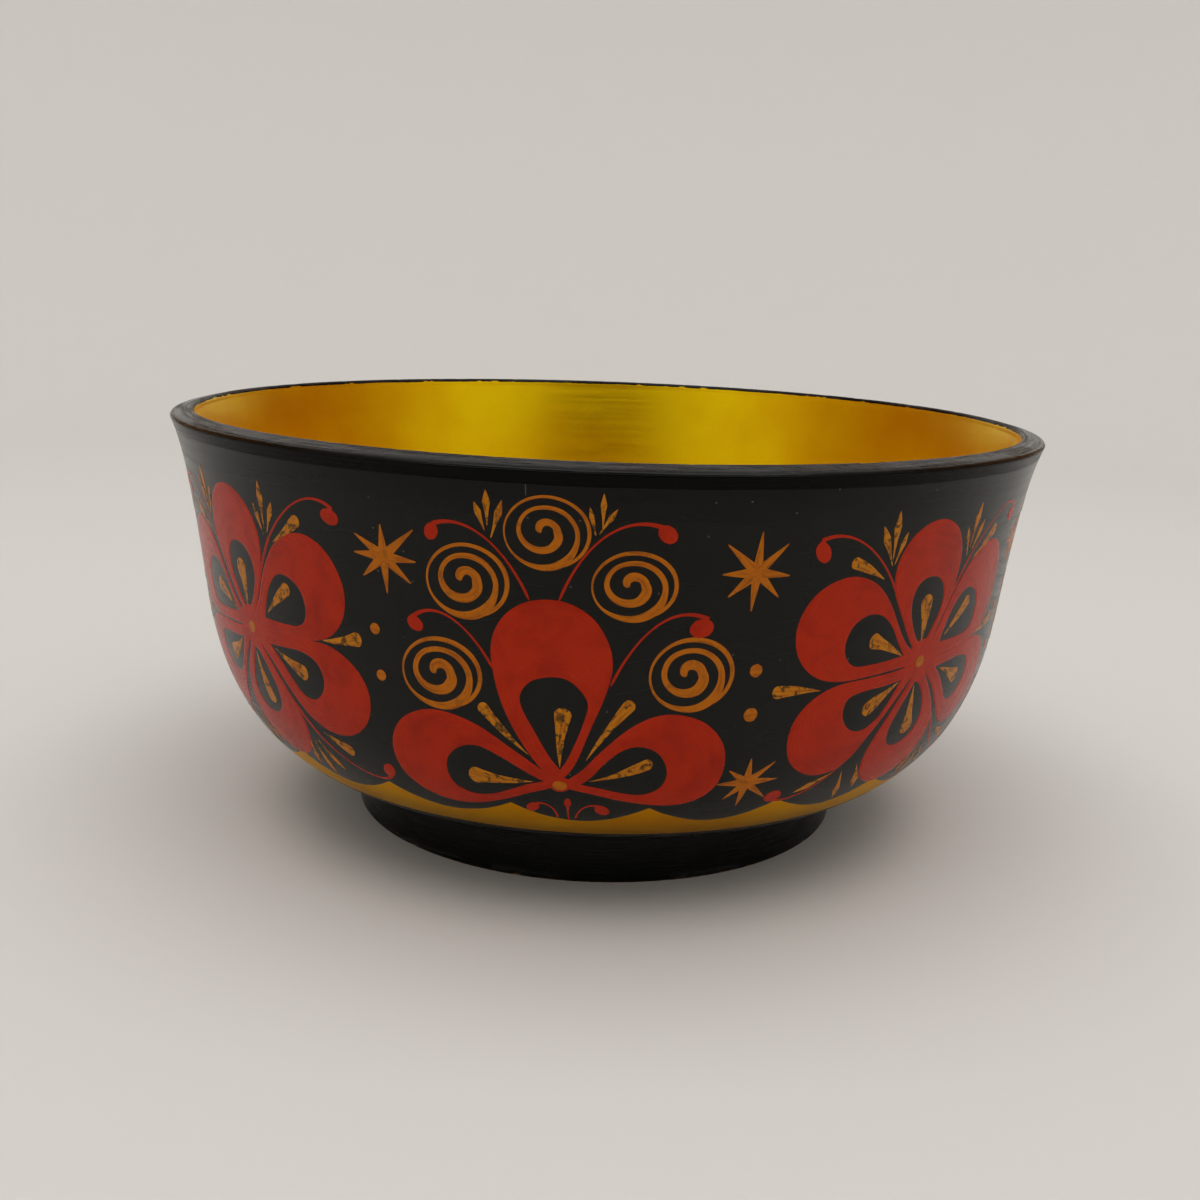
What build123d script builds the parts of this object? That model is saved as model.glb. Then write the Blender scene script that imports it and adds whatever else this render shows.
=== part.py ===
from build123d import *
import os

# A khokhloma bowl: one blank of linden wood turned on a lathe, and the finish
# coats that lie on it, each coat a thin solid of revolution of its own.
# The origin is the middle of the resting plane, with +Z up the turning axis.

# Driving dimensions, in millimetres
RIM_RADIUS = 75.0
HEIGHT = 71.0
FOOT_RADIUS = 44.0
FOOT_HEIGHT = 9.0
FOOT_DRAFT = 0.3            # the foot is this much wider at the wall than at the table
FOOT_RING_WIDTH = 6.5
RECESS_DEPTH = 3.0
RECESS_SLOPE = 1.5          # the recess's side runs in by this much over its depth
FLOOR_HEIGHT = 12.5         # the inside's lowest point, above the table
LIP_WIDTH = 3.8
LIP_DROP = 1.2              # from the lip's crest down to where the walls meet it
CREST_RADIUS = 71.9         # the crest is near the inside, and the lip slopes outwards from it
BELLY_RADIUS = 69.9         # the outer wall where the belly turns into the side
BELLY_HEIGHT = 40.5
BELLY_WALL = 4.4            # wall thickness there

# Bezier handles of the walls, as (radius, height)
BELLY_HANDLES = ((60.2, 10.8), (67.9, 23.3))
SIDE_HANDLES = ((71.0, 49.3), (72.4, 63.5))
LIP_SLOPE_HANDLES = ((75.0, 70.42), (74.3, 70.42))
LIP_INSIDE_HANDLES = ((71.5, 71.0), (71.2, 70.6))
INNER_SIDE_HANDLES = ((69.1, 62.5), (66.7, 49.3))
INNER_BELLY_HANDLES = ((63.4, 25.0), (50.0, FLOOR_HEIGHT))

# The finish coats
COAT = 0.3                  # ground, paint and lacquer together
RIM_BAND_OUTSIDE = 3.0      # the black lip band ends this far below the crest outside
RIM_BAND_INSIDE = 0.7       # and this far below it inside
BELLY_BAND_TOP = 17.5       # the gold belly band ends and the black ground begins
UNDERSIDE_TOP = 13.9        # the foot's black covers the belly's underside up to here
WORN_EDGE = 0.5             # the foot's coats stop this short of the table

FAR = 100.0                 # beyond the bowl in every direction


def moved(point, radius, height=0.0):
    """The point, moved outwards by radius and up by height."""
    return (point[0] + radius, point[1] + height)


def section(inset):
    """The bowl's half-section in the XZ plane, with its surface moved in by inset."""
    foot_top = (FOOT_RADIUS + FOOT_DRAFT - inset, FOOT_HEIGHT + inset)
    belly = (BELLY_RADIUS - inset, BELLY_HEIGHT)
    lip = (RIM_RADIUS - inset, HEIGHT - LIP_DROP)
    crest = (CREST_RADIUS, HEIGHT - inset)
    inner_lip = (RIM_RADIUS - LIP_WIDTH + inset, HEIGHT - LIP_DROP)
    inner_belly = (BELLY_RADIUS - BELLY_WALL + inset, BELLY_HEIGHT)
    floor_middle = (0, FLOOR_HEIGHT - inset)
    ring_inside = FOOT_RADIUS - FOOT_RING_WIDTH + inset
    belly_low, belly_high = BELLY_HANDLES
    side_low, side_high = SIDE_HANDLES
    slope_low, slope_high = LIP_SLOPE_HANDLES
    inside_high, inside_low = LIP_INSIDE_HANDLES
    inner_high, inner_low = INNER_SIDE_HANDLES
    floor_high, floor_low = INNER_BELLY_HANDLES

    outline = [
        Bezier(foot_top, moved(belly_low, 0, inset), moved(belly_high, -inset), belly),
        Bezier(belly, moved(side_low, -inset), moved(side_high, -inset), lip),
        Bezier(lip, moved(slope_low, -inset, -inset), moved(slope_high, 0, -inset), crest),
        Bezier(crest, moved(inside_high, inset / 2, -inset), moved(inside_low, inset), inner_lip),
        Bezier(inner_lip, moved(inner_high, inset), moved(inner_low, inset), inner_belly),
        Bezier(inner_belly, moved(floor_high, inset), moved(floor_low, 0, -inset), floor_middle),
        Polyline(
            floor_middle,
            (0, RECESS_DEPTH + inset),
            (ring_inside - RECESS_SLOPE, RECESS_DEPTH + inset),
            (ring_inside, 0),
            (FOOT_RADIUS - inset, 0),
            foot_top,
        ),
    ]
    return make_face(outline)


def zone(z_low, z_high, r_low=0.0, r_high=FAR):
    """A rectangle of the half-section, between two heights and two radii."""
    size = (r_high - r_low, z_high - z_low)
    return Pos(r_low, z_low) * Rectangle(*size, align=(Align.MIN, Align.MIN))


def outermost(pieces):
    """Of the pieces that a zone cuts from the coats, the one furthest from the axis."""
    return pieces.faces().sort_by(Axis.X)[-1]


def innermost(pieces):
    """Of the pieces that a zone cuts from the coats, the one nearest the axis."""
    return pieces.faces().sort_by(Axis.X)[0]


def half_sections():
    """The wood blank and its six coats, as node names and half-sections."""
    finished = section(0)
    bare_ring = finished & zone(0, WORN_EDGE)
    blank = section(COAT) + bare_ring
    coats = finished - blank

    lip_middle = RIM_RADIUS - LIP_WIDTH / 2
    rim_low = HEIGHT - RIM_BAND_OUTSIDE
    rim_low_inside = HEIGHT - RIM_BAND_INSIDE
    over_the_lip = zone(rim_low, FAR, lip_middle) + zone(rim_low_inside, FAR, 0, lip_middle)
    inside = zone(FLOOR_HEIGHT - COAT, rim_low_inside, 0, lip_middle)
    return {
        "turned_wood_bowl": blank,
        "gold_inside_coat": innermost(coats & inside),
        "black_rim_coat": outermost(coats & over_the_lip),
        "black_wall_coat": outermost(coats & zone(BELLY_BAND_TOP, rim_low)),
        "gold_belly_coat": outermost(coats & zone(UNDERSIDE_TOP, BELLY_BAND_TOP)),
        "black_foot_coat": outermost(coats & zone(WORN_EDGE, UNDERSIDE_TOP)),
        "black_recess_coat": innermost(coats & zone(WORN_EDGE, FOOT_HEIGHT)),
    }


os.makedirs("parts", exist_ok=True)
for node, half_section in half_sections().items():
    solid = revolve(Plane.XZ * half_section, axis=Axis.Z)
    export_step(solid, f"parts/{node}.step")
    print(f"{node}: {solid.volume / 1000:.2f} cm3, {len(solid.solids())} solid")
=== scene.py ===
"""The looks of a khokhloma bowl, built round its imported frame.

The turned wood blank stays as it is. Each finish coat is replaced by a finer lathe surface on the
same profile, and the painting lies on the black ground as strokes of paint with a real thickness.
Painted shapes are drawn on a flat band in millimetres: x runs round the bowl, counted at the rim's
radius with 0 at the front, and s runs up the outer profile from the foot.
"""
import math
import random

import bmesh
import bpy
import numpy as np
from mathutils import Matrix, Vector, noise


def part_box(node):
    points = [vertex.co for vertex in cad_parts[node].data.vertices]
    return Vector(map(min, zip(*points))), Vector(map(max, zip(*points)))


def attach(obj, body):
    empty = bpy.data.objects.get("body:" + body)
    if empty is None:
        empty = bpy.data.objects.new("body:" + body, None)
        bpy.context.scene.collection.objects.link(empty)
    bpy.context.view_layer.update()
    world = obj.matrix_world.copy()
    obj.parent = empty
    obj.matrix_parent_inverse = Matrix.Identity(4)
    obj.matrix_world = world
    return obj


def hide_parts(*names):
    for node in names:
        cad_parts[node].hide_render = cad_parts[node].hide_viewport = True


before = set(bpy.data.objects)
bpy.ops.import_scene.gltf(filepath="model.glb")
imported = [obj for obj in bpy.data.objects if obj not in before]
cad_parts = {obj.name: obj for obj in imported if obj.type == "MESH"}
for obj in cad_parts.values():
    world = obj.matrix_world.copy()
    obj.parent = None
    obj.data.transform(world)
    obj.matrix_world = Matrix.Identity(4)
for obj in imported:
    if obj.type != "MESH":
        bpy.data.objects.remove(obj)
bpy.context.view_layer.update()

MM = 0.001

# ---- sizes, in millimetres

def box_mm(node):
    """A node's lowest and highest corners in millimetres."""
    low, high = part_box(node)
    return [value / MM for value in low], [value / MM for value in high]


RIM_HIGH = box_mm("black_rim_coat")[1]
RECESS_LOW, RECESS_HIGH = box_mm("black_recess_coat")

RIM_RADIUS = RIM_HIGH[0]
HEIGHT = RIM_HIGH[2]
LIP_WIDTH = 3.8
LIP_DROP = 1.2              # from the lip's crest down to where the walls meet it
CREST = (71.9, HEIGHT)
LIP_SLOPE_HANDLES = ((74.3, 70.42), (75.0, 70.42))
LIP_INSIDE_HANDLES = ((71.2, 70.6), (71.5, HEIGHT))
BELLY = (69.9, 40.5)
BELLY_WALL = 4.4
BELLY_HANDLES = ((60.2, 10.8), (67.9, 23.3))
SIDE_HANDLES = ((71.0, 49.3), (72.4, 63.5))
INNER_SIDE_HANDLES = ((66.7, 49.3), (69.1, 62.5))
FLOOR_HEIGHT = 12.5
INNER_BELLY_HANDLES = ((50.0, FLOOR_HEIGHT), (63.4, 25.0))
FOOT_TOP = (44.3, 9.0)
FOOT_RADIUS = 44.0
RECESS_DEPTH = 3.0
UNDERSIDE_TOP = 13.9        # the foot's black covers the belly's underside up to here
RIM_BAND_INSIDE = 0.7       # the lip's black ends this far below the crest inside
RIM_BAND_OUTSIDE = 3.0      # and this far below it outside

LIP_REACH_INSIDE = 2.2      # the lip's profile starts this far below the crest inside
LIP_REACH_OUTSIDE = 4.0     # and ends this far below it outside

COAT = 0.25                 # thickness of a lathe coat, a little less than its CAD solid
UNDERCUT = 0.2              # how deep the coats with a worked edge reach below the surface
BLACK_LIFT = 0.04           # the black ground stands this proud of the gold beneath it
ROUND = 720                 # steps round the bowl in a lathe surface

# The painted layout round the bowl
PAINT = 0.05                # how far a stroke's ridges stand above its edges, and its underside below
PAINT_BED = BLACK_LIFT - 0.008      # height of its edges, just under the black's surface
PETAL_STEPS = 96
STROKE_SHARP = 60.0         # a stroke's edges sharper than this, in degrees, stay sharp
REPEATS = 4
TURN = 2 * math.pi * RIM_RADIUS
REPEAT = TURN / REPEATS
SCALLOPS = 20
SCALLOP_LOW = 19.0
SCALLOP_PEAK = 22.8
SCALLOP_START = -15.6       # one of the peaks


# ---- profiles

def bezier(points, count=60):
    """Points along the cubic Bezier curve of four control points."""
    t = np.linspace(0.0, 1.0, count)[:, None]
    p0, p1, p2, p3 = np.array(points, dtype=float)
    return p0 * (1 - t) ** 3 + 3 * p1 * t * (1 - t) ** 2 + 3 * p2 * t ** 2 * (1 - t) + p3 * t ** 3


def run_along(line):
    """The length run along a line, up to each of its points."""
    return np.concatenate([[0.0], np.cumsum(np.linalg.norm(np.diff(line, axis=0), axis=1))])


def unit(rows):
    """Each row as a vector of length 1."""
    return rows / np.maximum(np.linalg.norm(rows, axis=1), 1e-9)[:, None]


class Profile:
    """A curve in the (radius, height) plane, read by its arc length, with its outward normal."""

    def __init__(self, points, side):
        self.points = points
        self.lengths = run_along(points)
        self.length = self.lengths[-1]
        tangent = unit(np.gradient(points, self.lengths, axis=0))
        self.normals = side * np.stack([tangent[:, 1], -tangent[:, 0]], axis=1)

    def at(self, s, lift=0.0):
        """The radius and height at arc length s, moved outwards by lift."""
        read = [np.interp(s, self.lengths, column) for column in self.points.T]
        normal = [np.interp(s, self.lengths, column) for column in self.normals.T]
        return read[0] + lift * normal[0], read[1] + lift * normal[1]

    def up_to(self, height):
        """The arc length at which a rising profile reaches a height."""
        return np.interp(height, self.points[:, 1], self.lengths)


def joined(*curves):
    """Several point lists as one, with the doubled ends left out."""
    parts = [curves[0]] + [curve[1:] for curve in curves[1:]]
    return np.concatenate(parts)


LIP_OUTSIDE = (RIM_RADIUS, HEIGHT - LIP_DROP)
LIP_INSIDE = (RIM_RADIUS - LIP_WIDTH, HEIGHT - LIP_DROP)
INNER_BELLY = (BELLY[0] - BELLY_WALL, BELLY[1])


def outside_profile():
    """From the top of the foot up to the lip's outer edge."""
    belly = bezier((FOOT_TOP, *BELLY_HANDLES, BELLY), 200)
    side = bezier((BELLY, *SIDE_HANDLES, LIP_OUTSIDE), 200)
    return Profile(joined(belly, side), 1)


def inside_profile():
    """From the middle of the floor up to the lip's crest."""
    floor = bezier(((0.0, FLOOR_HEIGHT), *INNER_BELLY_HANDLES, INNER_BELLY), 200)
    side = bezier((INNER_BELLY, *INNER_SIDE_HANDLES, LIP_INSIDE), 200)
    up = bezier((LIP_INSIDE, *LIP_INSIDE_HANDLES, CREST), 40)
    return Profile(joined(floor, side, up), -1)


def lip_profile():
    """Over the lip: up the last of the inside, over the crest, down its slope and the outside."""
    inner = INSIDE.points[INSIDE.points[:, 1] > HEIGHT - LIP_REACH_INSIDE]
    down = bezier((CREST, *LIP_SLOPE_HANDLES, LIP_OUTSIDE), 60)
    outer = OUTSIDE.points[OUTSIDE.points[:, 1] > HEIGHT - LIP_REACH_OUTSIDE][::-1]
    return Profile(joined(inner, down, outer), -1)


def foot_profile():
    """Up the foot's side from the table, then over the belly's underside."""
    side = np.linspace((FOOT_RADIUS, 0.0), FOOT_TOP, 20)
    underside = OUTSIDE.points[OUTSIDE.points[:, 1] < UNDERSIDE_TOP + 1.0]
    return Profile(joined(side, underside), 1)


OUTSIDE = outside_profile()
INSIDE = inside_profile()
LIP = lip_profile()
FOOT = foot_profile()
LIP_TOP = int(np.argmax(LIP.points[:, 1]))


def down_outside(drop):
    """The arc length on the lip's profile at a drop below the crest, on its outside."""
    return np.interp(drop - HEIGHT, -LIP.points[LIP_TOP:, 1], LIP.lengths[LIP_TOP:])


CORNER = down_outside(LIP_DROP)


def round_axis(x, radius, height):
    """Where points lie in space, in metres, from their place round the bowl."""
    angle = x / RIM_RADIUS
    return np.stack([radius * np.sin(angle), -radius * np.cos(angle), height], axis=-1) * MM


# ---- mesh helpers

def placed(name, data):
    """A new object, put in the scene."""
    thing = bpy.data.objects.new(name, data)
    bpy.context.scene.collection.objects.link(thing)
    return thing


class Piece:
    """A piece gathered from closed grids of points, each with its texture coordinates."""

    def __init__(self, name, material, slot, *replaced):
        self.name = name
        self.material = material
        self.slot = slot
        self.replaced = replaced
        self.points = []
        self.faces = []
        self.corner_uvs = []
        self.count = 0

    def add(self, points, along, across, wrap_u):
        """Add a grid that always closes across v, and closes along u where wrap_u is true.

        along and across are the texture coordinates, in millimetres, one more than the points
        in each direction that closes, so that the last faces read on past the first ones.
        """
        rows, columns = points.shape[:2]
        i, j = np.meshgrid(np.arange(rows if wrap_u else rows - 1), np.arange(columns), indexing="ij")
        corners = [(i, j), (i + 1, j), (i + 1, j + 1), (i, j + 1)]
        index = [(a % rows) * columns + b % columns + self.count for a, b in corners]
        self.faces.append(np.stack(index, axis=-1).reshape(-1, 4))
        uvs = [np.stack([along[a, b], across[a, b]], axis=-1) for a, b in corners]
        self.corner_uvs.append(np.stack(uvs, axis=2).reshape(-1, 2))
        self.points.append(points.reshape(-1, 3))
        self.count += rows * columns

    def build(self, sharp=35.0):
        """Make the Blender object, riding on the bowl."""
        mesh = bpy.data.meshes.new(self.name)
        mesh.from_pydata(np.concatenate(self.points).tolist(), [], np.concatenate(self.faces).tolist())
        layer = mesh.uv_layers.new(name="stroke")
        layer.data.foreach_set("uv", np.concatenate(self.corner_uvs).ravel())
        tidy = bmesh.new()
        tidy.from_mesh(mesh)
        bmesh.ops.remove_doubles(tidy, verts=tidy.verts, dist=1e-7)
        bmesh.ops.dissolve_degenerate(tidy, edges=tidy.edges, dist=1e-8)
        bmesh.ops.recalc_face_normals(tidy, faces=tidy.faces)
        tidy.to_mesh(mesh)
        tidy.free()
        mesh.polygons.foreach_set("use_smooth", [True] * len(mesh.polygons))
        mesh.set_sharp_from_angle(angle=math.radians(sharp))
        mesh.materials.append(self.material)
        piece = placed(self.name, mesh)
        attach(piece, "root")
        if self.replaced:
            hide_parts(*self.replaced)


def steps_round(count):
    """Places round the bowl, from its back past the front to its back again."""
    return (np.arange(count) / count - 0.5) * TURN


def lathe(piece, loops, v_lengths):
    """Turn a closed profile loop, given at each step round the bowl, into one grid.

    loops has one row of (radius, height) pairs for each step.
    """
    steps = len(loops)
    points = round_axis(steps_round(steps)[:, None], loops[..., 0], loops[..., 1])
    x = np.linspace(-TURN / 2, TURN / 2, steps + 1)[:, None] + np.zeros(loops.shape[1] + 1)
    v = np.append(v_lengths, v_lengths[0])[None, :] + np.zeros((steps + 1, 1))
    piece.add(points, x, v, True)


def band_loop(profile, front, lifts, behind, back):
    """A closed loop: out along the profile at its lifts, and back at the places behind."""
    top = np.stack(profile.at(front, lifts), axis=-1)
    rear = np.stack(profile.at(behind, back), axis=-1)
    return np.concatenate([top, rear]), np.concatenate([front, behind])


def wave(x, s=0.0, size=10.0, seed=0.0):
    """Smooth noise from -1 to 1 that meets itself round the bowl. size is in millimetres."""
    angle = x / RIM_RADIUS
    reach = RIM_RADIUS / size
    return noise.noise(Vector((math.cos(angle) * reach, math.sin(angle) * reach + seed, s / size + seed)))


# ---- shader helpers

class Shader:
    """A procedural material, with short calls that add and join its nodes."""

    def __init__(self, name, **settings):
        self.material = bpy.data.materials.new(name)
        self.material.use_nodes = True
        self.tree = self.material.node_tree
        self.surface = self.tree.nodes["Principled BSDF"]
        for words, value in settings.items():
            self.surface.inputs[words.replace("_", " ")].default_value = value

    def node(self, kind, inputs=(), **settings):
        node = self.tree.nodes.new(kind)
        for key, value in settings.items():
            setattr(node, key, value)
        for socket, value in dict(inputs).items():
            self.put(node.inputs[socket], value)
        return node

    def put(self, socket, value):
        """Set a socket, or join it to another node's output."""
        if isinstance(value, bpy.types.NodeSocket):
            self.tree.links.new(value, socket)
        else:
            socket.default_value = value

    def stroke(self, scale=(1, 1, 1)):
        """Texture coordinates in millimetres along and across the stroke, or the lathe's turning."""
        uv = self.node("ShaderNodeUVMap", uv_map="stroke").outputs["UV"]
        return self.node("ShaderNodeMapping", {"Vector": uv, "Scale": scale}).outputs["Vector"]

    def place(self):
        """The point's place in the object, in millimetres."""
        inputs = {"Vector": self.node("ShaderNodeTexCoord").outputs["Object"], "Scale": [1 / MM] * 3}
        return self.node("ShaderNodeMapping", inputs).outputs["Vector"]

    def noise(self, vector, scale, detail=3.0, roughness=0.5, distortion=0.0):
        inputs = {"Vector": vector, "Scale": scale, "Detail": detail,
                  "Roughness": roughness, "Distortion": distortion}
        return self.node("ShaderNodeTexNoise", inputs).outputs["Fac"]

    def streaks(self, along, across, detail, roughness=0.5):
        """Noise drawn out along the stroke, with its features per millimetre along and across."""
        return self.noise(self.stroke((along, across, 1)), 1.0, detail, roughness)

    def ramp(self, factor, low, high, start=0.0, end=1.0):
        """Map low..high of a factor onto start..end, held at both ends."""
        inputs = {"Value": factor, "From Min": low, "From Max": high, "To Min": start, "To Max": end}
        return self.node("ShaderNodeMapRange", inputs, interpolation_type="SMOOTHSTEP").outputs["Result"]

    def mix(self, factor, first, second):
        """Mix two colours."""
        inputs = {0: factor, 6: first, 7: second}
        return self.node("ShaderNodeMix", inputs, data_type="RGBA").outputs[2]

    def math(self, operation, first, second=0.0):
        return self.node("ShaderNodeMath", {0: first, 1: second}, operation=operation).outputs[0]

    def times(self, first, second):
        return self.math("MULTIPLY", first, second)

    def axis(self, vector, index):
        return self.node("ShaderNodeSeparateXYZ", {0: vector}).outputs[index]

    def bump(self, height, distance, strength=1.0, after=None):
        """A bump whose full height is distance, in millimetres."""
        inputs = {"Height": height, "Distance": distance * MM, "Strength": strength}
        if after is not None:
            inputs["Normal"] = after
        return self.node("ShaderNodeBump", inputs).outputs["Normal"]

    def finish(self, color=None, roughness=None, normal=None):
        for socket, value in (("Base Color", color), ("Roughness", roughness), ("Normal", normal)):
            if value is not None:
                self.put(self.surface.inputs[socket], value)
        return self.material


# ---- materials

RED = (0.375, 0.0185, 0.002, 1)
RED_DARK = (0.25, 0.011, 0.002, 1)
OCHRE = (0.425, 0.120, 0.003, 1)
OCHRE_DARK = (0.25, 0.060, 0.004, 1)
OCHRE_YELLOW = (0.47, 0.165, 0.005, 1)
OLIVE = (0.022, 0.018, 0.007, 1)
BLACK = (0.0052, 0.0054, 0.0040, 1)
# painted shade: the black ground's colour just under the lip
BLACK_SHADE_UNDER_LIP = (0.0012, 0.0012, 0.0010, 1)
SPECK = (0.060, 0.057, 0.048, 1)
GLOSS_BLACK = (0.0020, 0.0020, 0.0018, 1)
GOLD = (0.98, 0.69, 0.004, 1)
GOLD_DEEP = (0.90, 0.55, 0.003, 1)
GOLD_DULL = (0.68, 0.30, 0.002, 1)
GOLD_DULL_DEEP = (0.58, 0.22, 0.002, 1)
GOLD_POOLED = (0.74, 0.34, 0.003, 1)
GOLD_GRAZING = (1.0, 0.95, 0.62, 1)
GOLD_STAIN = (0.50, 0.24, 0.003, 1)
RUBBED = (0.016, 0.014, 0.011, 1)
PRIMER = (0.028, 0.014, 0.011, 1)
LINDEN = (0.30, 0.17, 0.08, 1)
LINDEN_DARK = (0.15, 0.075, 0.03, 1)
LINDEN_DIRT = (0.05, 0.03, 0.015, 1)
SPECK_SPACING = 6.0         # between dust specks, in millimetres
RIM_WORST = 31.0            # where the lip is worn most, round the bowl
FOOT_WORST = 29.0           # and the foot's edge
WRINKLES = 0.35             # height of the wrinkles in worn black, in millimetres
SCRATCH = (-11.7, 70.4)     # a scratch down from the lip: its place round the bowl and its lower end


def red_paint():
    """Red oil paint, laid with a round brush: even, with faint streaks and darker clouds."""
    s = Shader("red_paint", Specular_IOR_Level=0.10)
    streaks = s.streaks(0.10, 1.3, 4.0, 0.6)
    cloud = s.noise(s.place(), 0.20, 4.0, 0.6, 0.8)
    tone = s.times(s.ramp(streaks, 0.30, 0.80, 0.3, 1.0), s.ramp(cloud, 0.42, 0.66, 0.1, 1.0))
    color = s.mix(tone, RED, RED_DARK)
    return s.finish(color, s.ramp(streaks, 0.2, 0.8, 0.22, 0.30), s.bump(streaks, 0.012, 0.5))


def ochre_paint(name, light, mottling):
    """Ochre oil paint over black, thin enough in places for the black to come through."""
    s = Shader(name, Specular_IOR_Level=0.10)
    streaks = s.streaks(0.25, 2.2, 4.0, 0.6)
    thin = s.noise(s.place(), 0.9, 4.0, 0.65, 0.6)
    color = s.mix(s.ramp(streaks, 0.42, 0.72), light, OCHRE_DARK)
    shows = s.ramp(thin, 0.60 - 0.11 * mottling, 0.68 - 0.09 * mottling, 0.0, mottling)
    color = s.mix(shows, color, OLIVE)
    return s.finish(color, s.ramp(streaks, 0.2, 0.8, 0.24, 0.34), s.bump(streaks, 0.02, 0.6))


def black_ground():
    """The satin black ground: brushed round the bowl, with painted shade that darkens it just under the lip,
    and dust in it.
    """
    s = Shader("black_ground", Specular_IOR_Level=0.15)
    band = s.stroke()
    brushed = s.streaks(0.03, 0.9, 4.0, 0.55)
    # painted shade: the black turns darker over the last millimetres below the lip
    color = s.mix(s.ramp(s.axis(band, 1), 66.0, 72.0), BLACK, BLACK_SHADE_UNDER_LIP)
    inputs = {"Vector": band, "Scale": 1 / SPECK_SPACING}
    cells = s.node("ShaderNodeTexVoronoi", inputs, voronoi_dimensions="2D")
    some = s.math("LESS_THAN", s.axis(cells.outputs["Color"], 0), 0.3)
    speck = s.times(s.ramp(cells.outputs["Distance"], 0.030, 0.018), some)
    color = s.mix(speck, color, SPECK)
    scratch_x, scratch_low = SCRATCH
    away = s.math("ABSOLUTE", s.math("SUBTRACT", s.axis(band, 0), scratch_x))
    above = s.ramp(s.axis(band, 1), scratch_low, scratch_low + 0.5)
    scratch = s.times(s.ramp(away, 0.09, 0.04), above)
    color = s.mix(scratch, color, SPECK)
    normal = s.bump(s.noise(s.place(), 0.8, 2.0), 0.008, 0.5, s.bump(brushed, 0.01, 0.5))
    return s.finish(color, s.ramp(brushed, 0.3, 0.7, 0.20, 0.28), normal)


def black_gloss(name, worn_low, worn_high, wear, worst, **settings):
    """Black gloss lacquer, chipped to the dark primer between two places across its band.

    worst is the place round the bowl where the band is chipped all through.
    """
    s = Shader(name, **settings)
    flow = s.streaks(0.05, 2.2, 5.0, 0.62)
    rubbed = s.streaks(0.02, 5.0, 3.0, 0.6)
    chips = s.streaks(0.5, 1.6, 6.0, 0.7)
    patches = s.streaks(0.045, 0.3, 2.0)
    band = s.axis(s.stroke(), 1)
    below = s.ramp(band, worn_high, worn_high - 0.3)
    near = s.times(s.ramp(band, worn_low, worn_low + 0.3), below)
    away = s.math("ABSOLUTE", s.math("SUBTRACT", s.axis(s.stroke(), 0), worst))
    patches = s.math("MAXIMUM", s.ramp(patches, 0.48, 0.62), s.ramp(away, 10.0, 6.0))
    near = s.times(near, patches)
    chipped = s.times(s.ramp(chips, wear, wear + 0.04), near)
    color = s.mix(s.ramp(rubbed, 0.60, 0.78, 0.0, 0.3), GLOSS_BLACK, RUBBED)
    color = s.mix(chipped, color, PRIMER)
    wrinkles = s.times(chips, near)
    wrinkled = s.bump(wrinkles, WRINKLES, 1.0, s.bump(flow, 0.05, 0.7))
    normal = s.bump(chipped, -0.10, 1.0, wrinkled)
    roughness = s.math("ADD", s.ramp(flow, 0.35, 0.65, 0.16, 0.32), s.times(near, 0.08))
    return s.finish(color, roughness, normal)


def gold_lacquer(name, light, deep, pooled_low, pooled_high, **settings):
    """Metal powder under amber lacquer: satin, burnished round the bowl, deeper where it pooled.

    It is deepest below the height pooled_low, and no deeper than elsewhere above pooled_high.
    """
    s = Shader(name, Metallic=1.0, Anisotropic=0.4, **settings)
    tangent = s.node("ShaderNodeTangent", direction_type="RADIAL", axis="Z").outputs[0]
    s.put(s.surface.inputs["Tangent"], tangent)
    turned = s.streaks(0.02, 1.5, 5.0, 0.6)
    pooled = s.noise(s.place(), 0.05, 3.0)
    flecks = s.noise(s.place(), 3.0, 2.0)
    color = s.mix(s.ramp(pooled, 0.35, 0.70), light, deep)
    color = s.mix(s.ramp(s.axis(s.place(), 2), pooled_high, pooled_low), color, GOLD_POOLED)
    color = s.mix(s.ramp(flecks, 0.62, 0.80, 0.0, 0.35), color, GOLD_STAIN)
    normal = s.bump(turned, 0.015, 0.6)
    return s.finish(color, s.ramp(turned, 0.3, 0.7, 0.30, 0.38), normal)


def linden_wood():
    """Bare, aged linden on the resting ring, with its fine grain and dirt in the pores."""
    s = Shader("linden_wood")
    along = s.node("ShaderNodeMapping", {"Vector": s.place(), "Scale": (0.15, 2.2, 0.6)}).outputs[0]
    grain = s.noise(along, 1.0, 5.0, 0.65, 0.4)
    dirt = s.noise(s.place(), 0.35, 4.0)
    color = s.mix(s.ramp(grain, 0.35, 0.70), LINDEN, LINDEN_DARK)
    color = s.mix(s.ramp(dirt, 0.50, 0.70, 0.0, 0.7), color, LINDEN_DIRT)
    return s.finish(color, s.ramp(grain, 0.2, 0.8, 0.55, 0.75), s.bump(grain, 0.06))


# ---- the bowl's coats

def plain_lathe(piece, profile, front, behind):
    """A coat that is the same all round."""
    loop, lengths = band_loop(profile, front, 0.0, behind, -COAT)
    lathe(piece, np.repeat(loop[None], ROUND, axis=0), lengths)
    piece.build()


def uneven_lathe(piece, steps, loop_at):
    """A coat whose loop changes with its place round the bowl."""
    loops, lengths = zip(*(loop_at(x) for x in steps_round(steps)))
    lathe(piece, np.array(loops), lengths[-1])
    piece.build()


def inside_gold(material):
    """The gold coat inside: one closed skin from the floor's middle up to the lip's black."""
    piece = Piece("inside_gold", material, "gold_lacquer", "gold_inside_coat")
    reach = INSIDE.up_to(HEIGHT - RIM_BAND_INSIDE + 0.3)
    coarse, fine = np.linspace(2.0, reach - 3.0, 52), np.linspace(reach - 2.6, reach, 12)
    front = np.concatenate([[0.0, 0.8], coarse, fine])
    plain_lathe(piece, INSIDE, front, np.linspace(reach, 0.0, 16))


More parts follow.
